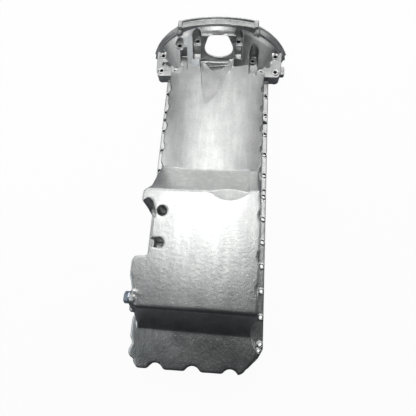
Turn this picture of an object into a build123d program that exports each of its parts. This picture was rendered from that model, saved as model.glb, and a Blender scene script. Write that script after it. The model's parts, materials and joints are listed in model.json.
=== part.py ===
from build123d import *
import os
from math import cos, radians, sin

os.makedirs("parts", exist_ok=True)

# Cast aluminium oil pan of a six-cylinder truck engine, lying on its gasket face.
# +Y is the flywheel end. +Z is the underside of the pan, which faces the road in use.

# ------------------------------------------------------------------ driving dimensions, mm
length = 1104.0                 # bell face to front edge
flange_width = 377.0
flange_thickness = 14.0
wall = 7.0
wall_draft = 4.0                # degrees

bolt_row_spacing = 360.0
bolts_per_side = 12
bell_face_to_first_bolt = 197.0
last_bolt_to_front = 71.0
bolt_pitch = (length - bell_face_to_first_bolt - last_bolt_to_front) / (bolts_per_side - 1)
flange_bolt_hole = 11.0
bolt_boss_diameter = 16.0
bolt_boss_height = 2.5
front_bolt_spacing = 100.0
scallop_radius = 16.0

shallow_depth = 85.0            # at the crown of the shallow floor
crown_radius = 487.0
shallow_foot_width = 344.0
sump_depth = 205.0
sump_draft = 3.6
shelf_depth = 110.0

# stations ahead of the first bolt, which follow the bolt pitch
ramp_foot_station = 4.105 * bolt_pitch
sump_rear_station = 5.579 * bolt_pitch
sump_front_station = 9.75 * bolt_pitch
shelf_rear_station = 10.54 * bolt_pitch
shallow_end_station = 8.421 * bolt_pitch
plug_station = 9.487 * bolt_pitch
bay_station = 10.382 * bolt_pitch
slot_station = 4.75 * bolt_pitch
gusset_station = 1.408 * bolt_pitch
groove_stations = [6.474 * bolt_pitch, 7.908 * bolt_pitch, 8.947 * bolt_pitch]
bell_face_to_seal_wall = 152.0

crank_height = 108.0            # crank axis beyond the gasket face
bell_pilot_radius = 255.6       # SAE 1 flywheel housing flange
bell_outer_radius = bell_pilot_radius + 21.0
bell_bolt_circle_radius = bell_pilot_radius + 9.5
bell_bolt_hole = 11.5
bell_boss_diameter = 21.0
bell_flange_thickness = 28.0
bell_lip_thickness = 6.0
bell_cone_length = 112.0
bell_cone_foot_radius = 190.0
bell_wall = 10.0
crest_radius = 515.0            # flatter top of the bell flange
crest_half_width = 128.0
crest_rise = 0.6
tube_boss_radius = 8.0

ear_height = 37.0
ear_bolt_hole = 13.0
seat_diameter = 23.0
column_diameter = 30.0

window_width = 110.0
window_height = 72.0
window_recess_half_width = 57.0

plug_across_flats = 27.0
plug_head_thickness = 11.0
plug_thread_diameter = 24.0
plug_thread_length = 16.0
plug_boss_diameter = 46.0
plug_height = 181.0
washer_outer_diameter = 32.0
washer_thickness = 2.0
washer_clearance = 0.4
thread_clearance = 0.2
plug_collar_thickness = 2.5
seat_height = 3.0

# ------------------------------------------------------------------ places worked out from them
rear_y = length / 2
front_y = -length / 2
first_bolt_y = rear_y - bell_face_to_first_bolt
bolt_ys = [first_bolt_y - i * bolt_pitch for i in range(bolts_per_side)]
bolt_x = bolt_row_spacing / 2
flange_x = flange_width / 2
foot_x = shallow_foot_width / 2
edge_to_bolt = flange_x - bolt_x
ramp_foot_y = first_bolt_y - ramp_foot_station
sump_rear_y = first_bolt_y - sump_rear_station
sump_front_y = first_bolt_y - sump_front_station
shelf_rear_y = first_bolt_y - shelf_rear_station
shallow_end_y = first_bolt_y - shallow_end_station
seal_wall_y = rear_y - bell_face_to_seal_wall
bell_flange_y = rear_y - bell_flange_thickness
bell_foot_y = bell_flange_y - bell_cone_length
plug_y = first_bolt_y - plug_station
gusset_y = first_bolt_y - gusset_station
slot_y = first_bolt_y - slot_station
far = 2 * length                # reaches past the whole part


def ring_of(corners, radii):
    """Adds a closed outline with rounded corners to the sketch around it."""
    with BuildLine() as outline:
        FilletPolyline(*corners, radius=radii, close=True)
    make_face(outline.edges())


# ------------------------------------------------------------------ flange plate
front_bolt_xs = [-106.0, -106.0 + front_bolt_spacing, -106.0 + 2 * front_bolt_spacing]
front_bolt_y = front_y + edge_to_bolt
corner_bolts = [(bolt_x - 5, front_y + 53), (bolt_x - 20, front_y + 31)]
flange_bolts = [(side * bolt_x, y) for side in (-1, 1) for y in bolt_ys]
flange_bolts += [(side * x, y) for side in (-1, 1) for x, y in corner_bolts]
flange_bolts += [(x, front_bolt_y) for x in front_bolt_xs]
ear_front_y = rear_y - 132

with BuildPart() as flange:
    with BuildSketch():
        ring_of(
            [
                (-flange_x, ear_front_y + 40),
                (-flange_x, front_y + 34),
                (-flange_x + 24, front_y),
                (flange_x - 46, front_y),
                (flange_x - 14, front_y + 33),
                (flange_x, front_y + 58),
                (flange_x, ear_front_y + 40),
            ],
            [2, 16, 16, 14, 20, 14, 2],
        )
    extrude(amount=flange_thickness)
    with BuildSketch():
        with Locations(flange_bolts):
            Circle(bolt_boss_diameter / 2)
    extrude(amount=flange_thickness + bolt_boss_height)

# ------------------------------------------------------------------ shallow rear part
with BuildPart() as shallow:
    with BuildSketch() as shallow_plan:
        ring_of(
            [
                (-foot_x, bell_foot_y + 30),
                (-foot_x, shallow_end_y),
                (foot_x, shallow_end_y),
                (foot_x, bell_foot_y + 30),
            ],
            2,
        )
        with Locations([place for place in flange_bolts if place[1] > shallow_end_y]):
            Circle(scallop_radius, mode=Mode.SUBTRACT)
        cusps = shallow_plan.vertices().filter_by(
            lambda v: abs(abs(v.X) - foot_x) < 0.01
            and min(abs(v.Y - y) for y in bolt_ys) < scallop_radius
        )
        fillet(cusps, radius=12)
    extrude(amount=shallow_depth, taper=wall_draft)
    with BuildSketch(Plane.XZ):
        with Locations((0, shallow_depth - crown_radius)):
            Circle(crown_radius)
    extrude(amount=far, both=True, mode=Mode.INTERSECT)

# ------------------------------------------------------------------ deep sump with its ramp and front slope
notch_front_y = sump_rear_y - 189
sump_left_x = -176.0
sump_right_x = 155.0
sump_notch_x = -134.0
ramp_left_x = -151.0
ramp_foot_z = shallow_depth - 13
slope_left_x = -160.0
slope_end_y = shelf_rear_y - 14
right_groove_ys = [first_bolt_y - station for station in groove_stations]
right_groove_radius = 26.0
right_groove_depth = 6.5

with BuildPart() as sump:
    with BuildSketch(Plane.XY.offset(sump_depth)) as sump_plan:
        ring_of(
            [
                (ramp_left_x, ramp_foot_y + 40),
                (ramp_left_x, sump_rear_y + 8),
                (sump_left_x + 7, sump_rear_y - 14),
                (sump_left_x + 7, sump_rear_y - 38),
                (sump_notch_x, sump_rear_y - 92),
                (sump_notch_x, notch_front_y),
                (sump_left_x, notch_front_y),
                (sump_left_x, notch_front_y - 50),
                (sump_left_x + 22, sump_front_y),
                (slope_left_x, slope_end_y),
                (sump_right_x - 2, slope_end_y),
                (sump_right_x, ramp_foot_y + 40),
            ],
            [0, 14, 16, 12, 30, 10, 16, 40, 30, 0, 0, 0],
        )
        groove_x = sump_right_x - right_groove_depth + right_groove_radius
        with Locations([(groove_x, y) for y in right_groove_ys]):
            Circle(right_groove_radius, mode=Mode.SUBTRACT)
        cusps = sump_plan.vertices().filter_by(
            lambda v: abs(v.X - sump_right_x) < 2
            and min(abs(v.Y - y) for y in right_groove_ys) < 0.8 * right_groove_radius
        )
        fillet(cusps, radius=9)
    extrude(amount=-(sump_depth - 2), taper=-sump_draft)
    with BuildSketch(Plane.YZ):
        ring_of(
            [
                (ramp_foot_y + 15, 0),
                (ramp_foot_y + 15, 30),
                (ramp_foot_y, ramp_foot_z),
                (sump_rear_y - 6, sump_depth),
                (sump_front_y, sump_depth),
                (shelf_rear_y, shelf_depth - 2),
                (slope_end_y, shelf_depth - 2),
                (slope_end_y, 0),
            ],
            [0, 0, 0, 10, 14, 16, 0, 0],
        )
    extrude(amount=far, both=True, mode=Mode.INTERSECT)
    corner_cut = Plane(
        (sump_right_x - 13, sump_rear_y - 22.5, sump_depth), x_dir=(24, -29, 0), z_dir=(0.671, 0.555, 0.492)
    )
    split(bisect_by=corner_cut, keep=Keep.BOTTOM)

# ------------------------------------------------------------------ front shelf and the slope down to it
shelf_front_y = front_y + 8
shelf_left_x = -184.0
shelf_right_x = 163.5
shelf_skew = 4.5                # the left end of the front wall stands this much further out
front_groove_depth = 12.0
with BuildPart() as shelf:
    with BuildSketch(Plane.XY.offset(shelf_depth)) as shelf_plan:
        ring_of(
            [
                (shelf_left_x, sump_front_y + 60),
                (shelf_left_x, front_y + 38),
                (shelf_left_x + 28, shelf_front_y - shelf_skew),
                (shelf_right_x - 42, shelf_front_y),
                (shelf_right_x, shelf_front_y + 46),
                (shelf_right_x, sump_front_y + 60),
            ],
            [2, 10, 10, 22, 16, 2],
        )
        with Locations([(x, shelf_front_y + front_groove_depth - 22) for x in front_bolt_xs]):
            Circle(22, mode=Mode.SUBTRACT)
        side_grooves = [(-bolt_x - 13, bolt_ys[11] - 6), (-bolt_x - 15, bolt_ys[10] - 6)]
        with Locations(side_grooves):
            Circle(16, mode=Mode.SUBTRACT)
        with Locations((shelf_left_x + 7, front_y + 20)):
            Circle(9, mode=Mode.SUBTRACT)
        cusps = shelf_plan.vertices().filter_by(
            lambda v: (v.Y < shelf_front_y + 1 and v.X < front_bolt_xs[2] and min(abs(v.X - x) for x in front_bolt_xs) < 23)
            or (abs(v.X - shelf_left_x) < 0.01 and min(abs(v.Y - y) for _, y in side_grooves) < 17)
        )
        fillet(cusps, radius=9)
    extrude(amount=-(shelf_depth - 2), taper=-1.5)

# ------------------------------------------------------------------ bell: cone, rim and ears
with BuildPart() as bell:
    with BuildSketch(Plane.YZ):
        ring_of(
            [
                (bell_foot_y, -crank_height),
                (bell_foot_y, bell_cone_foot_radius - crank_height),
                (bell_flange_y - 14, bell_outer_radius - 16 - crank_height),
                (bell_flange_y, bell_outer_radius - 9 - crank_height),
                (bell_flange_y, bell_outer_radius - 3.5 - crank_height),
                (rear_y - bell_lip_thickness - 3, bell_outer_radius - 3.5 - crank_height),
                (rear_y - bell_lip_thickness - 3, bell_outer_radius - 6 - crank_height),
                (rear_y - bell_lip_thickness, bell_outer_radius - 6 - crank_height),
                (rear_y - bell_lip_thickness, bell_outer_radius - crank_height),
                (rear_y, bell_outer_radius - crank_height),
                (rear_y, -crank_height),
            ],
            [0, 0, 18, 3, 0, 0, 0, 0, 0, 0, 0],
        )
    revolve(axis=Axis((0, 0, -crank_height), (0, 1, 0)))
    # flatter crest between two tube bosses, with the same lip
    for crest_z, from_y in ((bell_outer_radius - 6, bell_flange_y), (bell_outer_radius, rear_y - bell_lip_thickness)):
        top_z = crest_z - crank_height + crest_rise
        shoulder_z = top_z - crest_radius + (crest_radius**2 - crest_half_width**2) ** 0.5
        with BuildSketch(Plane((0, rear_y, 0), x_dir=(1, 0, 0), z_dir=(0, -1, 0))):
            with BuildLine() as crest_line:
                ThreePointArc((-crest_half_width, shoulder_z), (0, top_z), (crest_half_width, shoulder_z))
                Polyline(
                    (crest_half_width, shoulder_z),
                    (crest_half_width, shoulder_z - 40),
                    (-crest_half_width, shoulder_z - 40),
                    (-crest_half_width, shoulder_z),
                )
            make_face()
        extrude(amount=rear_y - from_y)
    with BuildSketch(Plane((0, rear_y, 0), x_dir=(1, 0, 0), z_dir=(0, -1, 0))):
        with Locations([(side * (crest_half_width + 2), shoulder_z - 6.5) for side in (-1, 1)]):
            Circle(tube_boss_radius)
    extrude(amount=bell_flange_thickness + 2)
    bell_angles = [-60, -30, 30, 60]
    boss_places = [
        (bell_bolt_circle_radius * sin(radians(a)), bell_bolt_circle_radius * cos(radians(a)))
        for a in bell_angles
    ]
    with BuildSketch(Plane((0, rear_y, -crank_height), x_dir=(1, 0, 0), z_dir=(0, -1, 0))):
        with Locations(boss_places):
            Circle(bell_boss_diameter / 2)
    extrude(amount=bell_flange_thickness + 6)
    with BuildSketch():
        with Locations((0, 0)):
            Rectangle(far, far)
    extrude(amount=bell_outer_radius, mode=Mode.INTERSECT)

# ------------------------------------------------------------------ ears beside the bell
ear_inner_x = 148.0
ear_outer_x = 229.0
ear_arm_depth = 36.0
ear_bolts = [(209.0, rear_y - 47), (209.0, rear_y - 113), (158.0, rear_y - 115)]
with BuildPart() as ears:
    with BuildSketch():
        ring_of(
            [
                (ear_inner_x, ear_front_y),
                (ear_outer_x - 6, ear_front_y - 3),
                (ear_outer_x + 1, ear_front_y + 24),
                (ear_outer_x + 6, bell_flange_y + 6),
                (ear_inner_x + 46, bell_flange_y + 6),
                (ear_inner_x + 42, ear_front_y + ear_arm_depth + 8),
                (ear_inner_x, ear_front_y + ear_arm_depth),
            ],
            [2, 14, 10, 0, 0, 8, 4],
        )
    extrude(amount=ear_height, taper=1.5)
    mirror(about=Plane.YZ)
    # side lug on the right ear and a recess in the left one
    with BuildSketch():
        with Locations((ear_outer_x + 7, rear_y - 86)):
            RectangleRounded(20, 36, 4)
    extrude(amount=flange_thickness + 2)
    with BuildSketch(Plane.XY.offset(ear_height - 12)):
        with Locations((-197, rear_y - 81)):
            RectangleRounded(25, 18, 3)
    extrude(amount=20, mode=Mode.SUBTRACT)

# ------------------------------------------------------------------ scoop in the shallow floor
scoop_rear_y = bell_foot_y + 45
scoop_tip_y = first_bolt_y - 85
with BuildPart() as scoop:
    with BuildSketch(Plane.XY.offset(shallow_depth - 25)):
        ring_of(
            [
                (-59, scoop_rear_y),
                (-51, scoop_tip_y + 40),
                (-30, scoop_tip_y),
                (50, first_bolt_y + 25),
                (56, scoop_rear_y),
            ],
            [0, 60, 6, 30, 0],
        )
    extrude(amount=60)
    scoop_floor = Plane(
        (-30, scoop_tip_y, shallow_depth - 1), x_dir=(1, 0, 0.1), z_dir=(-0.115, 0.045, 1)
    )
    split(bisect_by=scoop_floor, keep=Keep.TOP)

# ------------------------------------------------------------------ bolt channels in the bell front
# x, y from the first bolt, seat height, front end of the channel and its height there
channels = [
    (-72.0, 151.0, 106.0, 124.0, 79.0),
    (72.0, 151.0, 106.0, 124.0, 79.0),
    (-137.0, 144.0, 93.0, 88.0, 60.0),
    (126.0, 113.0, 60.0, 78.0, 60.0),
]
channel_radius = 15.0


def add_channels(margin):
    """Adds the space over every bolt seat, and its way out to the front, grown by a margin."""
    for x, y, seat_z, front, front_z in channels:
        with BuildSketch(Plane.XY.offset(seat_z - margin)) as over_seat:
            with Locations((x, first_bolt_y + y)):
                Circle(channel_radius + margin)
        extrude(over_seat.sketch, amount=110)
        with BuildSketch(Plane.YZ.offset(x)) as way_out:
            with BuildLine():
                Polyline(
                    (first_bolt_y + front - 30 - margin, front_z - margin),
                    (first_bolt_y + front, front_z - margin),
                    (first_bolt_y + y - channel_radius, seat_z - margin),
                    (first_bolt_y + y, seat_z - margin),
                    (first_bolt_y + y, seat_z + 110),
                    (first_bolt_y + front - 30 - margin, seat_z + 110),
                    close=True,
                )
            make_face()
        extrude(way_out.sketch, amount=channel_radius - 1.5 + margin, both=True)


with BuildPart() as channel_space:
    add_channels(0)
with BuildPart() as channel_lining:
    add_channels(wall)

# ------------------------------------------------------------------ recess in front of the window wall
window_foot_y = bell_foot_y + 45
window_foot_z = shallow_depth - 5
window_wall_rise = 63.0
window_wall_run = 38.0


def add_recess(margin):
    """Adds the space in front of the window wall, grown towards the rear by a margin."""
    top_y = window_foot_y + margin + window_wall_run * 1.5
    with BuildSketch(Plane.YZ) as side_view:
        with BuildLine():
            Polyline(
                (bell_foot_y - 20, window_foot_z + 4 - margin),
                (window_foot_y + margin, window_foot_z - margin),
                (top_y, window_foot_z + window_wall_rise * 1.5 - margin),
                (bell_foot_y - 20, window_foot_z + window_wall_rise * 1.5),
                close=True,
            )
        make_face()
    extrude(side_view.sketch, amount=window_recess_half_width + margin, both=True)


with BuildPart() as recess_space:
    add_recess(0)
with BuildPart() as recess_lining:
    add_recess(wall)

with BuildPart() as window_dip:
    with BuildSketch(Plane.XY.offset(shallow_depth - 13)):
        with Locations((4, window_foot_y - 2)):
            Ellipse(38, 45)
        with Locations((4, window_foot_y - 42)):
            Rectangle(90, 80, mode=Mode.INTERSECT)
    extrude(amount=45)

window_plane = Plane(
    (3, window_foot_y, window_foot_z),
    x_dir=(1, 0, 0),
    z_dir=(0, -window_wall_rise, window_wall_run),
)
with BuildPart() as window:
    with BuildSketch(window_plane):
        ring_of(
            [
                (-window_width * 0.22, window_height + 3),
                (window_width * 0.22, window_height + 3),
                (window_width * 0.57, 24),
                (0, -2),
                (-window_width * 0.57, 24),
            ],
            [16, 16, 14, 60, 14],
        )
    extrude(amount=60, both=True)

# ------------------------------------------------------------------ inside of the bell, dry
with BuildPart() as bell_inside:
    with BuildSketch(Plane.YZ):
        with BuildLine():
            Polyline(
                (bell_foot_y + 4, -crank_height),
                (bell_foot_y + 4, bell_cone_foot_radius - bell_wall - crank_height),
                (bell_flange_y - 14, bell_outer_radius - 17 - bell_wall - crank_height),
                (bell_flange_y + 6, bell_pilot_radius - crank_height),
                (rear_y + 1, bell_pilot_radius - crank_height),
                (rear_y + 1, -crank_height),
                close=True,
            )
        make_face()
    revolve(axis=Axis((0, 0, -crank_height), (0, 1, 0)))
    with BuildSketch(Plane.YZ):
        with BuildLine():
            Polyline(
                (bell_foot_y + 4, -10),
                (bell_foot_y + 4, 46),
                (bell_foot_y + 50, 46),
                (bell_foot_y + 60, far),
                (rear_y + 2, far),
                (rear_y + 2, -10),
                close=True,
            )
        make_face()
    extrude(amount=far, both=True, mode=Mode.INTERSECT)
    add(channel_lining.part, mode=Mode.SUBTRACT)
    add(recess_lining.part, mode=Mode.SUBTRACT)
    for x, y, seat_z, front, front_z in channels:
        with BuildSketch(Plane.XY.offset(-10)):
            with Locations((x, first_bolt_y + y)):
                Circle(column_diameter / 2)
        extrude(amount=seat_z + 10, mode=Mode.SUBTRACT)
    with BuildSketch(Plane.XY.offset(-10)):
        with Locations([(side * x, y) for side in (-1, 1) for x, y in ear_bolts]):
            Circle(column_diameter / 2)
    extrude(amount=ear_height + 10, mode=Mode.SUBTRACT)

# ------------------------------------------------------------------ inside of the oil space
inner_x = foot_x - 15
inner_left_x = -160.0
inner_notch_x = -85.0
inner_right_x = sump_right_x - right_groove_depth - wall
low_ceiling = shallow_depth - 27
with BuildPart() as oil_space:
    with BuildSketch(Plane.XY.offset(-1)):
        ring_of(
            [
                (-inner_x, seal_wall_y),
                (-inner_x, shallow_end_y),
                (inner_notch_x - 20, shallow_end_y),
                (inner_notch_x - 20, sump_rear_y + 40),
                (inner_x, sump_rear_y + 40),
                (inner_x, seal_wall_y),
            ],
            12,
        )
    extrude(amount=shallow_depth, taper=wall_draft)
    with BuildSketch(Plane.XZ):
        with Locations((0, shallow_depth - crown_radius)):
            Circle(crown_radius - wall)
    extrude(amount=far, both=True, mode=Mode.INTERSECT)
    with BuildSketch(Plane.XY.offset(low_ceiling)):
        with Locations((0, seal_wall_y)):
            Rectangle(far, 2 * (seal_wall_y - scoop_tip_y + 12))
    extrude(amount=far, mode=Mode.SUBTRACT)

with BuildPart() as sump_space:
    with BuildSketch(Plane.XY.offset(-1)):
        ring_of(
            [
                (ramp_left_x + wall, ramp_foot_y + 30),
                (ramp_left_x + wall, sump_rear_y - 2),
                (inner_left_x, sump_rear_y - 12),
                (inner_left_x, sump_rear_y - 25),
                (inner_notch_x, sump_rear_y - 26),
                (inner_notch_x, notch_front_y - wall - 3),
                (inner_left_x, notch_front_y - wall - 3),
                (inner_left_x, notch_front_y - 60),
                (inner_left_x + 18, sump_front_y + 6),
                (inner_left_x + 10, shelf_rear_y + 8),
                (inner_right_x - 10, shelf_rear_y + 8),
                (inner_right_x, ramp_foot_y + 30),
            ],
            [4, 8, 6, 6, 12, 12, 12, 20, 14, 10, 10, 4],
        )
    extrude(amount=sump_depth - wall + 1)
    with BuildSketch(Plane.YZ):
        ring_of(
            [
                (ramp_foot_y - 4, -2),
                (ramp_foot_y - 4, 40),
                (ramp_foot_y - 19, ramp_foot_z - 8),
                (sump_rear_y - 26, sump_depth - wall),
                (sump_front_y + 7, sump_depth - wall),
                (shelf_rear_y + 8, shelf_depth - wall),
                (shelf_rear_y + 8, -2),
            ],
            [0, 0, 0, 10, 10, 0, 0],
        )
    extrude(amount=far, both=True, mode=Mode.INTERSECT)

shelf_inner_front_y = shelf_front_y + front_groove_depth + wall
with BuildPart() as shelf_space:
    with BuildSketch(Plane.XY.offset(-1)):
        ring_of(
            [
                (inner_left_x, sump_front_y + 40),
                (inner_left_x, shelf_inner_front_y + 22),
                (inner_left_x + 22, shelf_inner_front_y),
                (shelf_right_x - 58, shelf_inner_front_y),
                (shelf_right_x - 29, shelf_inner_front_y + 30),
                (shelf_right_x - 29, sump_front_y + 40),
            ],
            [4, 12, 12, 14, 14, 4],
        )
    extrude(amount=shelf_depth - wall + 1)

# ------------------------------------------------------------------ drain plug boss
plug_face_x = -172.0
boss_plane = Plane((plug_face_x, plug_y, plug_height), x_dir=(0, 1, 0), z_dir=(-1, 0, 0))
with BuildPart() as plug_boss:
    with BuildSketch(boss_plane):
        Circle(plug_boss_diameter / 2)
    extrude(amount=-14)
    with BuildSketch(boss_plane.offset(-10)):
        Circle(plug_boss_diameter / 2 + 4)
    extrude(amount=-60, taper=18)

# ------------------------------------------------------------------ the casting
hole_depth = flange_thickness + bolt_boss_height
bay_radius = 70.0
bay_x = 145.0 + bay_radius
bay_y = first_bolt_y - bay_station
with BuildPart() as pan:
    for piece in (flange, shallow, sump, shelf, bell, ears, plug_boss):
        add(piece.part)
    # access bay beside the shelf, with the flange kept under it
    with BuildSketch(Plane.XY.offset(flange_thickness)):
        with Locations((bay_x, bay_y)):
            Circle(bay_radius)
    extrude(amount=sump_depth, mode=Mode.SUBTRACT)
    with BuildSketch(Plane.XY.offset(flange_thickness)):
        with Locations([place for place in flange_bolts if place[0] > 0]):
            Circle(bolt_boss_diameter / 2)
    extrude(amount=bolt_boss_height)
    # bolt recesses under the overhang of the left wall
    overhung = [(-bolt_x, y) for y in bolt_ys[7:]]
    with BuildSketch(Plane.XY.offset(hole_depth)):
        with Locations(overhung + [(-x, y) for x, y in corner_bolts]):
            Circle(12)
        with Locations([(x - 12, y) for x, y in overhung]):
            Rectangle(24, 24)
        with Locations([Location((-x, y), side_turn) for (x, y), side_turn in zip(corner_bolts, (15, 40))]):
            with Locations((-12, 0)):
                Rectangle(24, 24)
    extrude(amount=34, mode=Mode.SUBTRACT)
    # socket pockets through the sump floor at the notch
    pocket_radius = 13.5
    pockets = [(-110.0, sump_rear_y - 67), (-110.0, sump_rear_y - 154)]
    lobe = Location((-145, sump_rear_y - 62), 112)
    with BuildSketch(Plane.XY.offset(shallow_depth + 35)):
        with Locations(pockets):
            Circle(pocket_radius)
        with Locations((pockets[1][0] - pocket_radius, pockets[1][1])):
            Rectangle(2 * pocket_radius, 1.6 * pocket_radius)
        with Locations(lobe):
            SlotCenterToCenter(30, 27)
    extrude(amount=sump_depth, mode=Mode.SUBTRACT)
    # bay at the top of the ramp
    ramp_bay_radius = 175.0
    with BuildSketch(Plane((68, sump_rear_y - 30, sump_depth), x_dir=(1, 0, 0), z_dir=(0, -1, 0.384))):
        with Locations((0, ramp_bay_radius)):
            Circle(ramp_bay_radius)
    extrude(amount=120, both=True, mode=Mode.SUBTRACT)
    spaces = (scoop, window_dip, recess_space, channel_space, bell_inside, oil_space, sump_space, shelf_space)
    for space in spaces:
        add(space.part, mode=Mode.SUBTRACT)
    add(window.part, mode=Mode.SUBTRACT)
    # machined seats on the bolt columns and ears
    for x, y, seat_z, front, front_z in channels:
        with BuildSketch(Plane.XY.offset(seat_z)):
            with Locations((x, first_bolt_y + y)):
                Circle(seat_diameter / 2)
        extrude(amount=seat_height)
    with BuildSketch(Plane.XY.offset(ear_height)):
        with Locations([(side * x, y) for side in (-1, 1) for x, y in ear_bolts]):
            Circle(seat_diameter / 2)
    extrude(amount=seat_height)
    # clearance over the ear seats where the cone comes near
    with BuildSketch(Plane.XY.offset(ear_height + seat_height)):
        with Locations([(side * x, y) for side in (-1, 1) for x, y in ear_bolts]):
            Circle(seat_diameter / 2 + 3)
    extrude(amount=60, mode=Mode.SUBTRACT)
    # gussets from the wall to the flange
    for side in (-1, 1):
        with BuildSketch(Plane.XZ.offset(-gusset_y)):
            with BuildLine():
                Polyline(
                    (side * (foot_x - 8), flange_thickness),
                    (side * (flange_x - 2), flange_thickness),
                    (side * (flange_x - 2), flange_thickness + 5),
                    (side * (foot_x - 8), flange_thickness + 26),
                    close=True,
                )
            make_face()
        extrude(amount=3, both=True)
    # slots through the flange
    with BuildSketch():
        with Locations([(side * (bolt_x + 1), slot_y) for side in (-1, 1)]):
            Rectangle(9, 8)
    extrude(amount=flange_thickness, mode=Mode.SUBTRACT)
    # flange bolt holes
    with BuildSketch(Plane.XY.offset(-1)):
        with Locations(flange_bolts):
            Circle(flange_bolt_hole / 2)
    extrude(amount=hole_depth + 1.5, mode=Mode.SUBTRACT)
    # holes through the columns and the ears
    for x, y, seat_z, front, front_z in channels:
        with BuildSketch(Plane.XY.offset(-1)):
            with Locations((x, first_bolt_y + y)):
                Circle(ear_bolt_hole / 2)
        extrude(amount=seat_z + seat_height + 2, mode=Mode.SUBTRACT)
    with BuildSketch(Plane.XY.offset(-1)):
        with Locations([(side * x, y) for side in (-1, 1) for x, y in ear_bolts]):
            Circle(ear_bolt_hole / 2)
    extrude(amount=ear_height + seat_height + 2, mode=Mode.SUBTRACT)
    # holes through the bell flange
    with BuildSketch(Plane((0, rear_y + 1, -crank_height), x_dir=(1, 0, 0), z_dir=(0, -1, 0))):
        with Locations(boss_places):
            Circle(bell_bolt_hole / 2)
    extrude(amount=bell_flange_thickness + 8, mode=Mode.SUBTRACT)
    # threaded bore for the drain plug
    with BuildSketch(boss_plane.offset(1)):
        Circle(plug_thread_diameter / 2)
    extrude(amount=-32, mode=Mode.SUBTRACT)
pan.part.label = "pan_casting"
export_step(pan.part, "parts/pan_casting.step")

# ------------------------------------------------------------------ drain plug and its sealing washer
washer_plane = boss_plane
with BuildPart() as washer:
    with BuildSketch(washer_plane):
        Circle(washer_outer_diameter / 2)
        Circle(plug_thread_diameter / 2 + washer_clearance, mode=Mode.SUBTRACT)
    extrude(amount=washer_thickness)
washer.part.label = "drain_plug_washer"
export_step(washer.part, "parts/drain_plug_washer.step")

head_plane = washer_plane.offset(washer_thickness)
with BuildPart() as plug:
    with BuildSketch(head_plane):
        Circle(washer_outer_diameter / 2 - 0.5)
    extrude(amount=plug_collar_thickness)
    with BuildSketch(head_plane.offset(plug_collar_thickness)):
        RegularPolygon(plug_across_flats / 2, 6, major_radius=False)
    extrude(amount=plug_head_thickness)
    with BuildSketch(head_plane):
        Circle(plug_thread_diameter / 2 - thread_clearance)
    extrude(amount=-(washer_thickness + plug_thread_length))
    chamfer(plug.faces().sort_by(Axis.X)[-1].edges(), length=1.5)
plug.part.label = "drain_plug"
export_step(plug.part, "parts/drain_plug.step")
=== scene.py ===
"""Engine oil pan: a cast aluminium pan with its drain plug, laid out for a studio view.

The forms of the pan are in millimetres; the camera, the floor and the lamps are placed in metres.
"""

import json
import logging
import math
from collections.abc import Callable
from dataclasses import dataclass
from enum import Enum
from functools import cached_property

import bmesh
import bpy
import numpy as np
from mathutils import Euler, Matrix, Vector


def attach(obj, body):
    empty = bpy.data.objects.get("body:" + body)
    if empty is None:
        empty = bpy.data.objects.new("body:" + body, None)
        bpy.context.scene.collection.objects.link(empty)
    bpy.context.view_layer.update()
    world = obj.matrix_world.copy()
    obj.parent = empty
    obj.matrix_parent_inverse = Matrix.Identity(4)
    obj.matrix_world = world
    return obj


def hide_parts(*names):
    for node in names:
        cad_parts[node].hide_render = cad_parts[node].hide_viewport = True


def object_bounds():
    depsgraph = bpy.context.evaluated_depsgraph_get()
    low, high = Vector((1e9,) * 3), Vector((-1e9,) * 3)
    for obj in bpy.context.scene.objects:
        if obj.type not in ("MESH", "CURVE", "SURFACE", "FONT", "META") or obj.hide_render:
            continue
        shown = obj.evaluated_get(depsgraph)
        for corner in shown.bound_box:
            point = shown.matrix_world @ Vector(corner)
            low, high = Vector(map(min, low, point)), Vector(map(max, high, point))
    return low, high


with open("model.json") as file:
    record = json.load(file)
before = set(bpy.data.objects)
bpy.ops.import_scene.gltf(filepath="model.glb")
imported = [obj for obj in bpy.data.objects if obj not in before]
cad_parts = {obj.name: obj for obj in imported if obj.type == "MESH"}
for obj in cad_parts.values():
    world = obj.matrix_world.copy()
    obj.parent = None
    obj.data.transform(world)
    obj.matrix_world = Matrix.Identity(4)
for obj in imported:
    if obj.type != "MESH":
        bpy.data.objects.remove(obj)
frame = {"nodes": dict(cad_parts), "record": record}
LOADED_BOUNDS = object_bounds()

LOG = logging.getLogger("oil_pan")
MM = 0.001
BODY = "root"
WHITE = (1.0, 1.0, 1.0, 1.0)
Colour = tuple[float, float, float, float]
Place = tuple[float, float, float]
Plan = tuple[tuple[float, float], ...]


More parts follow.
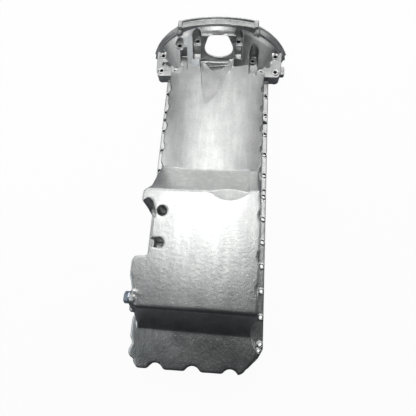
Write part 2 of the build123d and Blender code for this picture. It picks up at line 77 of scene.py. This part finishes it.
# ------------------------------------------------------------------ shader building
class Value:
    """A number socket that adds Math nodes when it is used in an expression."""

    def __init__(self, nodes: "Nodes", socket: bpy.types.NodeSocket) -> None:
        """Wraps one output socket of a node tree."""
        self.nodes = nodes
        self.socket = socket

    def _math(self, operation: str, *terms: "Value | float") -> "Value":
        """Adds one Math node, with its terms in order."""
        return self.nodes.add("ShaderNodeMath", {"operation": operation}, dict(enumerate(terms)))

    def __add__(self, other: "Value | float") -> "Value":
        """Sum."""
        return self._math("ADD", self, other)

    __radd__ = __add__

    def __sub__(self, other: "Value | float") -> "Value":
        """Difference."""
        return self._math("SUBTRACT", self, other)

    def __rsub__(self, other: "Value | float") -> "Value":
        """Difference the other way round."""
        return self._math("SUBTRACT", other, self)

    def __mul__(self, other: "Value | float") -> "Value":
        """Product."""
        return self._math("MULTIPLY", self, other)

    __rmul__ = __mul__

    def __truediv__(self, other: "Value | float") -> "Value":
        """Quotient."""
        return self._math("DIVIDE", self, other)

    def __rtruediv__(self, other: "Value | float") -> "Value":
        """Quotient the other way round."""
        return self._math("DIVIDE", other, self)

    def clamped(self) -> "Value":
        """The value kept between 0 and 1."""
        return self._math("MINIMUM", self._math("MAXIMUM", self, 0.0), 1.0)

    def step(self, low: float, high: float) -> "Value":
        """0 below low and 1 above high, with a straight rise between them."""
        return ((self - low) / (high - low)).clamped()


class Nodes:
    """A node tree with one way to add any node."""

    def __init__(self, tree: bpy.types.NodeTree) -> None:
        """Takes over a tree and empties it."""
        self.tree = tree
        self.tree.nodes.clear()

    def add(
        self,
        kind: str,
        settings: dict[str, object] | None = None,
        inputs: dict[str | int, object] | None = None,
        out: str | int = 0,
    ) -> Value:
        """Adds one node.

        Args:
            kind: the node's type.
            settings: attributes, which are set first.
            inputs: socket names or numbers with values or links.
            out: the output to hand back.

        Returns:
            The chosen output.
        """
        node = self.tree.nodes.new(kind)
        for key, value in (settings or {}).items():
            setattr(node, key, value)
        for key, value in (inputs or {}).items():
            self.feed(node.inputs[key], value)
        return Value(self, node.outputs[out])

    def feed(self, socket: bpy.types.NodeSocket, value: object) -> None:
        """Links a value to a socket, or sets a plain constant on it.

        Args:
            socket: the input socket.
            value: a value of this tree, or a constant.
        """
        if isinstance(value, Value):
            self.tree.links.new(value.socket, socket)
        else:
            socket.default_value = value


class Shader(Nodes):
    """A material's tree, with its surface shader and its output."""

    def __init__(self, name: str) -> None:
        """Starts a material.

        Args:
            name: the material's name.
        """
        self.material = bpy.data.materials.new(name)
        self.material.use_nodes = True
        super().__init__(self.material.node_tree)
        self.surface = self.tree.nodes.new("ShaderNodeBsdfPrincipled")
        self.output = self.tree.nodes.new("ShaderNodeOutputMaterial")
        self.tree.links.new(self.surface.outputs[0], self.output.inputs["Surface"])

    @cached_property
    def place(self) -> Value:
        """The object's own coordinates."""
        return self.add("ShaderNodeTexCoord", out="Object")

    def noise(self, per_metre: float, detail: float, stretch: Place | None = None) -> Value:
        """Noise on the object's own coordinates.

        Args:
            per_metre: how many features in a metre.
            detail: how many finer layers are added.
            stretch: scale along each axis before the noise.

        Returns:
            The noise between 0 and 1.
        """
        place = self.place
        if stretch is not None:
            place = self.add("ShaderNodeMapping", None, {"Vector": place, "Scale": stretch})
        inputs = {"Vector": place, "Scale": per_metre, "Detail": detail, "Roughness": 0.55}
        return self.add("ShaderNodeTexNoise", None, inputs, out="Fac")

    def blend(self, factor: Value | float, first: object, second: object) -> Value:
        """A colour between two, by a factor."""
        return self.add("ShaderNodeMix", {"data_type": "RGBA"}, {0: factor, 6: first, 7: second}, out=2)

    def bump(self, height: Value, strength: float, depth_mm: float) -> Value:
        """A bumped normal from a height value."""
        inputs = {"Height": height, "Strength": strength, "Distance": depth_mm * MM}
        return self.add("ShaderNodeBump", None, inputs)

    def finish(self, **sockets: object) -> bpy.types.Material:
        """Feeds the surface's sockets.

        Args:
            sockets: values by socket name, with underscores for spaces.

        Returns:
            The material.
        """
        for key, value in sockets.items():
            self.feed(self.surface.inputs[key.replace("_", " ").title()], value)
        return self.material


# ------------------------------------------------------------------ finishes
@dataclass(frozen=True)
class CastAluminium:
    """Cast aluminium: fine grain and small wrinkles in its skin, faint clouds and long smears."""

    name: str = "cast_aluminium"
    light: Colour = (0.74, 0.745, 0.73, 1.0)
    dark: Colour = (0.4, 0.41, 0.41, 1.0)
    roughness: float = 0.31
    clouds_per_metre: float = 22.0
    smears_per_metre: float = 60.0
    wrinkles_per_metre: float = 120.0
    grain_per_metre: float = 420.0
    smear_stretch: Place = (1.0, 0.14, 1.0)
    contrast: tuple[float, float] = (0.3, 0.7)
    smear_contrast: tuple[float, float] = (0.45, 0.75)
    cloud_tone: float = 0.3
    grain_tone: float = 0.4
    wrinkle_tone: float = 0.15
    smear_tone: float = 0.3
    grain_relief: float = 0.4
    wrinkle_relief: float = 0.6
    cloud_haze: float = 0.06
    smear_polish: float = 0.05
    relief_strength: float = 0.6
    relief_mm: float = 0.45

    def material(self) -> bpy.types.Material:
        """Builds the material.

        Returns:
            The material.
        """
        shader = Shader(self.name)
        clouds = shader.noise(self.clouds_per_metre, 4.0).step(*self.contrast)
        grain = shader.noise(self.grain_per_metre, 2.0).step(*self.contrast)
        wrinkles = shader.noise(self.wrinkles_per_metre, 3.0).step(*self.contrast)
        smears = shader.noise(self.smears_per_metre, 4.0, self.smear_stretch).step(*self.smear_contrast)
        tone = clouds * self.cloud_tone + grain * self.grain_tone
        tone = (tone + wrinkles * self.wrinkle_tone + smears * self.smear_tone).clamped()
        relief = grain * self.grain_relief + wrinkles * self.wrinkle_relief
        return shader.finish(
            base_color=shader.blend(tone, self.dark, self.light),
            metallic=1.0,
            roughness=self.roughness + clouds * self.cloud_haze - smears * self.smear_polish,
            normal=shader.bump(relief, self.relief_strength, self.relief_mm),
        )


@dataclass(frozen=True)
class HazyMetal:
    """A plain metal whose gloss varies a little over it."""

    name: str
    colour: Colour
    roughness: float
    metallic: float
    haze: float
    haze_per_metre: float

    def material(self) -> bpy.types.Material:
        """Builds the material.

        Returns:
            The material.
        """
        shader = Shader(self.name)
        haze = shader.noise(self.haze_per_metre, 2.0)
        roughness = self.roughness + haze * self.haze
        return shader.finish(base_color=self.colour, metallic=self.metallic, roughness=roughness)


MACHINED_ALUMINIUM = HazyMetal("machined_aluminium", (0.86, 0.86, 0.85, 1.0), 0.3, 0.9, 0.06, 300.0)
BLUE_ZINC_STEEL = HazyMetal("zinc_plated_steel", (0.62, 0.7, 0.8, 1.0), 0.28, 1.0, 0.08, 260.0)


@dataclass(frozen=True)
class WasherAluminium:
    """Soft aluminium of the sealing washer."""

    name: str = "washer_aluminium"
    colour: Colour = (0.72, 0.73, 0.74, 1.0)
    roughness: float = 0.38

    def material(self) -> bpy.types.Material:
        """Builds the material."""
        return Shader(self.name).finish(base_color=self.colour, metallic=1.0, roughness=self.roughness)


# ------------------------------------------------------------------ meshes and objects
def as_mesh(form: bmesh.types.BMesh, name: str) -> bpy.types.Mesh:
    """Turns a finished form into a mesh.

    Args:
        form: the form, which is freed.
        name: the mesh's name.

    Returns:
        The mesh.
    """
    mesh = bpy.data.meshes.new(name)
    form.to_mesh(mesh)
    form.free()
    return mesh


def in_scene(name: str, data: bpy.types.ID) -> bpy.types.Object:
    """Puts a mesh, a lamp or a camera into the scene.

    Args:
        name: the object's name.
        data: what the object holds.

    Returns:
        The object.
    """
    holder = bpy.data.objects.new(name, data)
    bpy.context.scene.collection.objects.link(holder)
    return holder


def read(items: bpy.types.bpy_prop_collection, name: str) -> np.ndarray:
    """Reads one vector of every vertex or face.

    Args:
        items: the mesh's vertices or faces.
        name: the vector's name.

    Returns:
        One row for each item.
    """
    flat = np.empty(3 * len(items), dtype=np.float32)
    items.foreach_get(name, flat)
    return flat.reshape(-1, 3)


# ------------------------------------------------------------------ bodies that shape the casting
class Change(Enum):
    """How a body changes the casting."""

    ADD = "UNION"
    CUT = "DIFFERENCE"


@dataclass(frozen=True)
class Body:
    """A closed form between two outlines with as many points each."""

    name: str
    change: Change
    near: list[Vector]
    far: list[Vector]

    def build(self) -> bpy.types.Mesh:
        """Makes the near outline's face and extrudes it to the far outline.

        The faces are then put in a fixed order, the two ends first, so that each run gives one result.

        Returns:
            The mesh with its faces outwards.
        """
        form = bmesh.new()
        near = form.faces.new([form.verts.new(point * MM) for point in self.near])
        grown = bmesh.ops.extrude_face_region(form, geom=[near])["geom"]
        far = next(part for part in grown if isinstance(part, bmesh.types.BMFace))
        for corner, point in zip(far.verts, self.far):
            corner.co = point * MM
        bmesh.ops.recalc_face_normals(form, faces=form.faces)
        form.verts.index_update()
        ends = {near: -2, far: -1}
        form.faces.sort(key=lambda face: ends.get(face, face.verts[0].index))
        return as_mesh(form, self.name)


def rounded(plan: Plan, radii: tuple[float, ...], steps: int = 8) -> list[Vector]:
    """A closed flat outline with each corner rounded.

    Args:
        plan: the corners in order.
        radii: the rounding at each corner.
        steps: how many edges make one rounding.

    Returns:
        The points of the outline.
    """
    corners = [Vector(corner) for corner in plan]
    points = []
    for index, (corner, radius) in enumerate(zip(corners, radii)):
        before = (corners[index - 1] - corner).normalized()
        after = (corners[(index + 1) % len(corners)] - corner).normalized()
        half_angle = before.angle(after) / 2
        centre = corner + (before + after).normalized() * (radius / math.sin(half_angle))
        start = corner + before * radius / math.tan(half_angle) - centre
        end = corner + after * radius / math.tan(half_angle) - centre
        for step in range(steps + 1):
            points.append(centre + start.lerp(end, step / steps).normalized() * radius)
    return points


def level(plan: list[Vector], height: float) -> list[Vector]:
    """A plan at one height."""
    return [Vector((point.x, point.y, height)) for point in plan]


def draped(plan: list[Vector], height: Callable[[float, float], float]) -> list[Vector]:
    """A plan laid on a surface, whose height is given over each place."""
    return [Vector((point.x, point.y, height(point.x, point.y))) for point in plan]


def box_body(name: str, change: Change, low: Place, high: Place) -> Body:
    """An upright box.

    Args:
        name: the body's name.
        change: how it changes the casting.
        low: its corner with the least coordinates.
        high: its corner with the greatest coordinates.

    Returns:
        The body.
    """
    plan = [(low[0], low[1]), (high[0], low[1]), (high[0], high[1]), (low[0], high[1])]
    corners = [Vector(corner) for corner in plan]
    return Body(name, change, level(corners, low[2]), level(corners, high[2]))


def post_body(
    name: str,
    change: Change,
    foot: Place,
    radius: float,
    height: float,
    lean: tuple[float, float] = (0.0, 0.0),
) -> Body:
    """A round post.

    Args:
        name: the body's name.
        change: how it changes the casting.
        foot: the middle of its foot.
        radius: its radius.
        height: how high it stands.
        lean: how far its top stands off its foot.

    Returns:
        The body.
    """
    points = 24
    turns = [2 * math.pi * index / points for index in range(points)]
    near = [Vector(foot) + Vector((math.cos(turn), math.sin(turn), 0)) * radius for turn in turns]
    rise = Vector((*lean, height))
    return Body(name, change, near, [point + rise for point in near])


@dataclass(frozen=True)
class BellWindow:
    """The window in the bell's sloping wall: a plate closes the wall, then the window is cut."""

    foot: Place = (3.0, 457.0, 80.0)
    rise: float = 63.0
    run: float = 38.0
    wall: float = 9.4
    skin: float = 0.3
    half_width: float = 60.0
    height: float = 77.0
    below: float = 3.0
    cut_behind: float = 45.0
    cut_before: float = 14.0
    corners: Plan = ((-33, 76), (32, 76), (58, 24), (3, 0), (-54, 24))
    radii: tuple[float, ...] = (17, 17, 21, 80, 21)

    def on_wall(self, plan: list[Vector], out: float) -> list[Vector]:
        """A plan laid on the wall.

        Args:
            plan: points by their way across and up the wall.
            out: how far before the wall's face they lie.

        Returns:
            The points in space.
        """
        slope = Vector((0, self.run, self.rise)).normalized()
        normal = Vector((0, -self.rise, self.run)).normalized()
        return [Vector(self.foot) + Vector((p.x, 0, 0)) + slope * p.y + normal * out for p in plan]

    def bodies(self) -> list[Body]:
        """The plate and the window.

        Returns:
            The bodies in order.
        """
        width, low, high = self.half_width, -self.below, self.height
        plate = [Vector(p) for p in ((-width, low), (width, low), (width, high), (-width, high))]
        window = rounded(self.corners, self.radii)
        back, face = self.on_wall(plate, -self.wall), self.on_wall(plate, -self.skin)
        behind, before = self.on_wall(window, -self.cut_behind), self.on_wall(window, self.cut_before)
        return [
            Body("window_plate", Change.ADD, back, face),
            Body("window_opening", Change.CUT, behind, before),
        ]


@dataclass(frozen=True)
class BellCone:
    """The bell's sloping skin, about the crank axis beyond the gasket face."""

    axis_drop: float = 108.0
    foot_y: float = 412.0
    foot_radius: float = 190.0
    flare: float = 0.59

    def height(self, x: float, y: float) -> float:
        """How high the skin stands over a place."""
        radius = self.foot_radius + (y - self.foot_y) * self.flare
        return math.sqrt(max(radius * radius - x * x, 0.0)) - self.axis_drop


@dataclass(frozen=True)
class BellPocket:
    """A deep pocket before an outer bolt seat, open to the shallow floor, with a lining behind it."""

    name: str
    centre_x: float
    half_width: float
    front: float
    rear: float
    floor: float
    corner: float
    seat: Place | None = None
    top: float = 150.0
    lining: float = 8.0
    lining_front: float = 460.0
    skin: float = 3.0
    front_corner: float = 0.5
    seat_radius: float = 10.5
    seat_root: float = 2.0
    hole_radius: float = 6.5
    hole_start: float = -5.0

    def plan(self, front: float, grow: float = 0.0) -> list[Vector]:
        """The pocket's plan.

        Args:
            front: where it begins.
            grow: how much wider and longer it is than the pocket.

        Returns:
            The points of the plan.
        """
        left, right = self.centre_x - self.half_width - grow, self.centre_x + self.half_width + grow
        rear = self.rear + grow
        rear_corner = self.corner + grow
        corners = ((left, front), (right, front), (right, rear), (left, rear))
        return rounded(corners, (self.front_corner, self.front_corner, rear_corner, rear_corner))

    def under_skin(self, x: float, y: float) -> float:
        """How high the lining may stand over a place."""
        return max(BellCone().height(x, y) - self.skin, self.floor)

    def bodies(self) -> list[Body]:
        """The lining, the pocket, and the raised bolt seat where the pocket has one.

        Returns:
            The bodies in order.
        """
        around = self.plan(self.lining_front, self.lining)
        root = level(around, self.floor - self.lining)
        lining = Body(self.name + "_lining", Change.ADD, root, draped(around, self.under_skin))
        plan = self.plan(self.front)
        pocket = Body(self.name, Change.CUT, level(plan, self.floor), level(plan, self.top))
        if self.seat is None:
            return [lining, pocket]
        x, y, seat_height = self.seat
        foot = self.floor - self.seat_root
        boss = post_body(self.name + "_boss", Change.ADD, (x, y, foot), self.seat_radius, seat_height - foot)
        under = (x, y, self.hole_start)
        hole = post_body(self.name + "_hole", Change.CUT, under, self.hole_radius, self.top)
        return [lining, pocket, boss, hole]


@dataclass(frozen=True)
class Scoop:
    """The sunken triangle in the shallow floor before the window, with the dip at its rear."""

    tip: Place = (-28.0, 268.0, 84.2)
    fall_across: float = 0.0926
    fall_back: float = -0.0549
    outline: Plan = ((-62, 455), (-47, 346), (-31, 268), (32, 352), (52, 440), (53, 455))
    radii: tuple[float, ...] = (0.5, 120.0, 6.0, 90.0, 60.0, 0.5)
    dip: Plan = ((-44, 457), (-1, 392), (49, 457))
    dip_radii: tuple[float, ...] = (0.5, 20.0, 0.5)
    dip_front: float = 402.0
    dip_fall: float = 0.33
    dip_lean: float = 0.6
    filling_root: float = 60.0
    dip_filling: tuple[Place, Place] = ((-40.0, 402.0, 60.0), (48.0, 449.0, 83.6))
    scoop_filling: tuple[Place, ...] = (
        (-64, 290, 80.7), (-28, 262, 84.1), (-28, 452, 84.1), (-64, 452, 80.7)
    )
    top: float = 110.0

    def floor(self, x: float, y: float) -> float:
        """How high the scoop's floor stands under a place."""
        tip = Vector(self.tip)
        return tip.z + (x - tip.x) * self.fall_across + (y - tip.y) * self.fall_back

    def dip_floor(self, point: Vector) -> Vector:
        """The dip's floor at a point of its plan, leaning forwards with its depth.

        Args:
            point: the point of the plan.

        Returns:
            The point on the floor.
        """
        depth = (point.y - self.dip_front) * self.dip_fall
        lean = max(depth, 0.0) * self.dip_lean
        return Vector((point.x, point.y - lean, self.floor(point.x, self.dip_front) - depth))

    def bodies(self) -> list[Body]:
        """The fillings that level the floor, the scoop and the dip.

        Returns:
            The bodies in order.
        """
        crown = [Vector(corner) for corner in self.scoop_filling]
        scoop = rounded(self.outline, self.radii)
        dip = rounded(self.dip, self.dip_radii)
        return [
            box_body("dip_filling", Change.ADD, *self.dip_filling),
            Body("scoop_filling", Change.ADD, level(crown, self.filling_root), crown),
            Body("scoop", Change.CUT, draped(scoop, self.floor), level(scoop, self.top)),
            Body("dip", Change.CUT, [self.dip_floor(point) for point in dip], level(dip, self.top)),
        ]


@dataclass(frozen=True)
class PlugCorner:
    """The cast forms beside the drain plug: the fuller shoulder, the lug below it and the web above."""

    shoulder_root: tuple[Place, ...] = (
        (-169, -380, 20), (-148, -380, 20), (-148, -446, 20), (-171, -446, 20)
    )
    shoulder_top: tuple[Place, ...] = (
        (-163, -380, 204), (-148, -380, 204), (-148, -446, 109), (-166, -446, 109)
    )
    lug_foot: Place = (-165.0, -393.0, 112.0)
    lug_radius: float = 9.0
    lug_height: float = 72.0
    web_root: float = 185.0
    web: tuple[Place, ...] = ((-167, -345, 207), (-112, -361, 204), (-114, -369, 204), (-163, -376, 202))

    def bodies(self) -> list[Body]:
        """The shoulder, the lug and the web.

        Returns:
            The bodies in order.
        """
        root = [Vector(corner) for corner in self.shoulder_root]
        top = [Vector(corner) for corner in self.shoulder_top]
        web = [Vector(corner) for corner in self.web]
        return [
            Body("slope_shoulder", Change.ADD, root, top),
            post_body("plug_lug", Change.ADD, self.lug_foot, self.lug_radius, self.lug_height),
            Body("plug_web", Change.ADD, level(web, self.web_root), web),
        ]


@dataclass(frozen=True)
class FrontLobe:
    """The last lobe of the front edge, on the right."""

    foot: Place = (123.0, -540.0, 0.0)
    radius: float = 11.5
    height: float = 104.0
    lean: tuple[float, float] = (-1.0, 11.5)

    def bodies(self) -> list[Body]:
        """The leaning post of the lobe."""
        return [post_body("front_lobe", Change.ADD, self.foot, self.radius, self.height, self.lean)]


@dataclass(frozen=True)
class RampEdge:
    """The square right-hand edge of the ramp up to the sump."""

    foot: tuple[Place, ...] = ((124.0, 43.8, 71.0), (162.5, 0.0, 71.0), (156.5, 43.8, 71.0))
    head: tuple[Place, ...] = ((119.5, -68.8, 204.6), (153.5, -111.0, 204.6), (150.5, -68.8, 204.6))

    def bodies(self) -> list[Body]:
        """The wedge that squares the edge.

        Returns:
            The one body.
        """
        foot = [Vector(corner) for corner in self.foot]
        head = [Vector(corner) for corner in self.head]
        return [Body("ramp_edge", Change.ADD, foot, head)]


# ------------------------------------------------------------------ the pan
class Skin(Enum):
    """Which finish a face of the casting takes, by its material slot."""

    CAST = 0
    MACHINED = 1


@dataclass(frozen=True)
class Hole:
    """One bolt hole that runs along Z, in metres."""

    place: Vector
    radius: float


def upright_holes() -> list[Hole]:
    """The bolt holes of the record's patterns whose axis is Z.

    Returns:
        One hole for each bolt of each pattern.
    """
    upright = 0.9
    holes = []
    for mount in frame["record"]["mounts"]:
        if mount["kind"] != "bolt_pattern" or abs(mount["axis"][2]) < upright:
            continue
        dims = mount["dims"]
        half_x = dims["spacing_x_mm"] * MM / 2
        half_y = dims.get("spacing_y_mm", 0.0) * MM / 2
        centre = Vector(mount["pos_m"])
        for across in (-half_x, half_x):
            for along in {-half_y, half_y}:
                holes.append(Hole(centre + Vector((across, along, 0.0)), dims["hole_r_mm"] * MM))
    return holes


@dataclass
class PanCasting:
    """The casting, made from a merged copy of its node."""

    node: str = "pan_casting"
    cast: CastAluminium = CastAluminium()
    machined: HazyMetal = MACHINED_ALUMINIUM
    merge_mm: float = 0.002
    cell_mm: float = 1.6
    smoothing: float = 0.5
    body_passes: int = 24
    detail_passes: int = 4
    blend_steps: int = 4
    blend_mm: float = 8.0
    gasket_mm: float = 1.0
    rail_top_mm: float = 20.0
    bell_front_mm: float = 395.0
    rail_hole_mm: float = 6.0
    rail_ring_mm: float = 2.5
    seat_ring_mm: float = 5.0
    seat_normal: float = 0.85
    gasket_normal: float = -0.99
    most_triangles: int = 196_000

    def build(self) -> bpy.types.Object:
        """Copies the node, shapes it, rounds its cast edges and marks its machined faces.

        Returns:
            The piece that stands for the node.
        """
        piece = self.merged_copy()
        self.reshape(piece)
        remesh = piece.modifiers.new("cast_skin", "REMESH")
        remesh.mode = "VOXEL"
        remesh.voxel_size = self.cell_mm * MM
        self.settle(piece)
        self.round_edges(piece)
        triangles = sum(len(face.vertices) - 2 for face in piece.data.polygons)
        thin = piece.modifiers.new("thinning", "DECIMATE")
        thin.ratio = min(1.0, self.most_triangles / triangles)
        self.settle(piece)
        self.keep_in_box(piece.data)
        self.dress(piece.data)
        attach(piece, BODY)
        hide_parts(self.node)
        return piece

    def merged_copy(self) -> bpy.types.Object:
        """Copies the node with its loose triangles joined up.

        Returns:
            The copy.
        """
        form = bmesh.new()
        form.from_mesh(frame["nodes"][self.node].data)
        bmesh.ops.remove_doubles(form, verts=form.verts, dist=self.merge_mm * MM)
        return in_scene("casting_skin", as_mesh(form, "casting_skin"))

    def reshape(self, piece: bpy.types.Object) -> None:
        """Adds the cast forms that the node leaves plain and cuts those that it leaves full.

        Args:
            piece: the merged copy.
        """
        left = BellPocket("left_pocket", -121.0, 13.0, front=418.0, rear=484.0, floor=62.0, corner=4.0)
        right = BellPocket(
            "right_pocket", 129.0, 15.0, front=424.0, rear=496.0, floor=50.0, corner=14.0,
            seat=(126.0, 468.0, 60.0),
        )
        for part in (Scoop(), BellWindow(), left, right, PlugCorner(), FrontLobe(), RampEdge()):
            for body in part.bodies():
                helper = in_scene(body.name, body.build())
                change = piece.modifiers.new(body.name, "BOOLEAN")
                change.operation = body.change.value
                change.solver = "EXACT"
                change.object = helper
                self.settle(piece)
                bpy.data.meshes.remove(helper.data)

    @staticmethod
    def settle(piece: bpy.types.Object) -> None:
        """Makes the piece's modifiers part of its mesh.

        Args:
            piece: the piece.
        """
        graph = bpy.context.evaluated_depsgraph_get()
        piece.data = bpy.data.meshes.new_from_object(piece.evaluated_get(graph))
        piece.modifiers.clear()

    def round_edges(self, piece: bpy.types.Object) -> None:
        """Rounds the skin's edges, those of the rail and the bell only a little.

        Args:
            piece: the remeshed casting.
        """
        places = read(piece.data.vertices, "co") / MM
        above_rail = np.clip((places[:, 2] - self.rail_top_mm) / self.blend_mm, 0, 1)
        before_bell = np.clip((self.bell_front_mm - places[:, 1]) / self.blend_mm, 0, 1)
        off_gasket = np.clip(places[:, 2] - self.gasket_mm, 0, 1)
        for name, share, passes in (
            ("detail", off_gasket, self.detail_passes),
            ("body", above_rail * before_bell, self.body_passes),
        ):
            group = piece.vertex_groups.new(name=name)
            steps = np.round(share * self.blend_steps).astype(int)
            for step in range(1, self.blend_steps + 1):
                group.add(np.flatnonzero(steps == step).tolist(), step / self.blend_steps, "REPLACE")
            smooth = piece.modifiers.new(name, "SMOOTH")
            smooth.factor = self.smoothing
            smooth.iterations = passes
            smooth.vertex_group = name
        self.settle(piece)
        piece.vertex_groups.clear()

    @staticmethod
    def keep_in_box(mesh: bpy.types.Mesh) -> None:
        """Takes back the hair's breadth by which the skin passes the node's box.

        Args:
            mesh: the casting's mesh.
        """
        low, high = (np.array(corner) for corner in LOADED_BOUNDS)
        places = np.clip(read(mesh.vertices, "co"), low, high)
        mesh.vertices.foreach_set("co", places.astype(np.float32).ravel())
        mesh.update()

    def dress(self, mesh: bpy.types.Mesh) -> None:
        """Machines the gasket face and the rings around the bolt holes, and leaves the rest as cast.

        Args:
            mesh: the casting's mesh.
        """
        centres = read(mesh.polygons, "center")
        normals = read(mesh.polygons, "normal")
        height = centres[:, 2]
        machined = (normals[:, 2] < self.gasket_normal) & (height < self.gasket_mm * MM)
        upward = normals[:, 2] >= self.seat_normal
        for hole in upright_holes():
            on_rail = hole.radius < self.rail_hole_mm * MM
            ring = self.rail_ring_mm if on_rail else self.seat_ring_mm
            top = self.rail_top_mm * MM if on_rail else math.inf
            away = np.linalg.norm(centres[:, :2] - np.array(hole.place.xy), axis=1)
            machined |= upward & (away < hole.radius + ring * MM) & (height <= top)
        mesh.materials.clear()
        mesh.materials.append(self.cast.material())
        mesh.materials.append(self.machined.material())
        skins = np.where(machined, Skin.MACHINED.value, Skin.CAST.value)
        mesh.polygons.foreach_set("material_index", skins.astype(np.int32))
        mesh.shade_smooth()


@dataclass
class DrainPlug:
    """The drain plug and its sealing washer."""

    plug: str = "drain_plug"
    washer: str = "drain_plug_washer"

    def dress(self) -> list[bpy.types.Object]:
        """Gives both pieces their finish.

        Returns:
            The plug and its washer.
        """
        pieces = [frame["nodes"][node] for node in (self.plug, self.washer)]
        for piece, finish in zip(pieces, (BLUE_ZINC_STEEL, WasherAluminium())):
            piece.data.materials.clear()
            piece.data.materials.append(finish.material())
        return pieces


# ------------------------------------------------------------------ the studio
@dataclass(frozen=True)
class Softbox:
    """One area lamp, pointed at its target."""

    name: str
    place: Place
    target: Place
    size: tuple[float, float]
    watts: float
    colour: tuple[float, float, float] = (1.0, 1.0, 1.0)

    def build(self) -> None:
        """Hangs the lamp."""
        lamp = bpy.data.lights.new(self.name, "AREA")
        lamp.shape = "RECTANGLE"
        lamp.size, lamp.size_y = self.size
        lamp.energy = self.watts
        lamp.color = self.colour
        holder = in_scene(self.name, lamp)
        holder.location = self.place
        beam = Vector(self.target) - Vector(self.place)
        holder.rotation_euler = beam.to_track_quat("-Z", "Y").to_euler()


@dataclass(frozen=True)
class Studio:
    """The camera, the white floor, the dim surroundings and the lamps."""

    eye: Place = (0.07623, -0.32171, 0.97874)
    turn_degrees: Place = (14.6716, 3.6252, 3.8875)
    lens_mm: float = 25.9615
    sensor_mm: float = 36.0
    nearest: float = 0.01
    floor_size: float = 14.0
    floor_drop: float = 0.0005
    floor_roughness: float = 0.9
    floor_light: Colour = (0.95, 0.95, 0.95, 1.0)
    floor_dark: Colour = (0.2, 0.21, 0.23, 1.0)
    floor_glow: float = 0.95
    surroundings: Colour = (0.024, 0.026, 0.028, 1.0)
    lamps: tuple[Softbox, ...] = (
        Softbox("core", (-0.2, 0.38, 2.4), (-0.2, 0.3, 0.0), (1.0, 0.9), 10.5),
        Softbox("near_ceiling", (0.0, 0.95, 2.5), (0.0, 0.9, 0.0), (3.6, 0.8), 8.5),
        Softbox("far_ceiling", (0.0, 1.75, 2.5), (0.0, 1.5, 0.0), (3.6, 0.8), 17.0),
        Softbox("rear_low", (0.0, 2.6, 0.5), (0.0, 0.0, 0.1), (4.2, 0.8), 22.0),
        Softbox("rear_high", (0.0, 2.8, 1.4), (0.0, 0.0, 0.1), (4.2, 0.9), 22.0),
        Softbox("left_high", (-2.2, 0.6, 1.6), (0.0, 0.2, 0.0), (1.6, 1.0), 9.0),
        Softbox("left_low", (-2.2, 0.0, 0.6), (0.0, 0.0, 0.1), (2.5, 0.8), 4.5),
        Softbox("right_high", (2.3, 0.6, 1.4), (0.0, 0.2, 0.0), (1.6, 1.0), 6.5),
        Softbox("right_low", (2.2, 0.0, 0.6), (0.0, 0.0, 0.1), (2.5, 0.8), 2.0),
        Softbox("left_front", (-1.6, -0.9, 1.7), (0.0, 0.0, 0.1), (0.9, 0.9), 5.5, (0.88, 0.94, 1.0)),
    )

    def camera(self) -> None:
        """Sets the camera."""
        lens = bpy.data.cameras.new("camera")
        lens.lens = self.lens_mm
        lens.sensor_width = self.sensor_mm
        lens.clip_start = self.nearest
        holder = in_scene("camera", lens)
        holder.location = self.eye
        holder.rotation_euler = Euler([math.radians(turn) for turn in self.turn_degrees], "XYZ")
        bpy.context.scene.camera = holder

    def floor(self) -> None:
        """Lays a floor that is white to the eye, keeps a shadow and is dark to the metal."""
        form = bmesh.new()
        bmesh.ops.create_grid(form, x_segments=1, y_segments=1, size=self.floor_size / 2)
        bmesh.ops.translate(form, verts=form.verts, vec=(0.0, 0.0, -self.floor_drop))
        mesh = as_mesh(form, "floor")
        floor = in_scene("floor", mesh)
        shader = Shader("floor_white")
        seen = shader.add("ShaderNodeLightPath", out="Is Camera Ray")
        glow = shader.add("ShaderNodeEmission", None, {"Color": WHITE, "Strength": 1.0})
        shader.finish(
            base_color=shader.blend(seen, self.floor_dark, self.floor_light),
            roughness=self.floor_roughness,
        )
        shader.surface.inputs["Specular IOR Level"].default_value = 0.0
        plain = Value(shader, shader.surface.outputs[0])
        mixed = shader.add("ShaderNodeMixShader", None, {0: seen * self.floor_glow, 1: plain, 2: glow})
        shader.feed(shader.output.inputs["Surface"], mixed)
        mesh.materials.append(shader.material)

    def world(self) -> None:
        """Sets the surroundings: white to the eye, dim elsewhere."""
        world = bpy.data.worlds.new("surroundings")
        world.use_nodes = True
        nodes = Nodes(world.node_tree)
        seen = nodes.add("ShaderNodeLightPath", out="Is Camera Ray")
        dim = nodes.add("ShaderNodeBackground", None, {"Color": self.surroundings})
        white = nodes.add("ShaderNodeBackground", None, {"Color": WHITE})
        mixed = nodes.add("ShaderNodeMixShader", None, {0: seen, 1: dim, 2: white})
        nodes.feed(nodes.tree.nodes.new("ShaderNodeOutputWorld").inputs["Surface"], mixed)
        bpy.context.scene.world = world

    def build(self) -> None:
        """Sets up the whole studio."""
        self.camera()
        self.floor()
        self.world()
        for lamp in self.lamps:
            lamp.build()
        bpy.context.scene.view_settings.view_transform = "Standard"


def main() -> None:
    """Builds the pan, dresses its drain plug and sets up the studio."""
    logging.basicConfig(level=logging.INFO)
    for piece in (PanCasting().build(), *DrainPlug().dress()):
        LOG.info("%s: %d faces", piece.name, len(piece.data.polygons))
    Studio().build()
    LOG.info("studio: camera, floor and lamps")


if __name__ == "__main__":
    main()
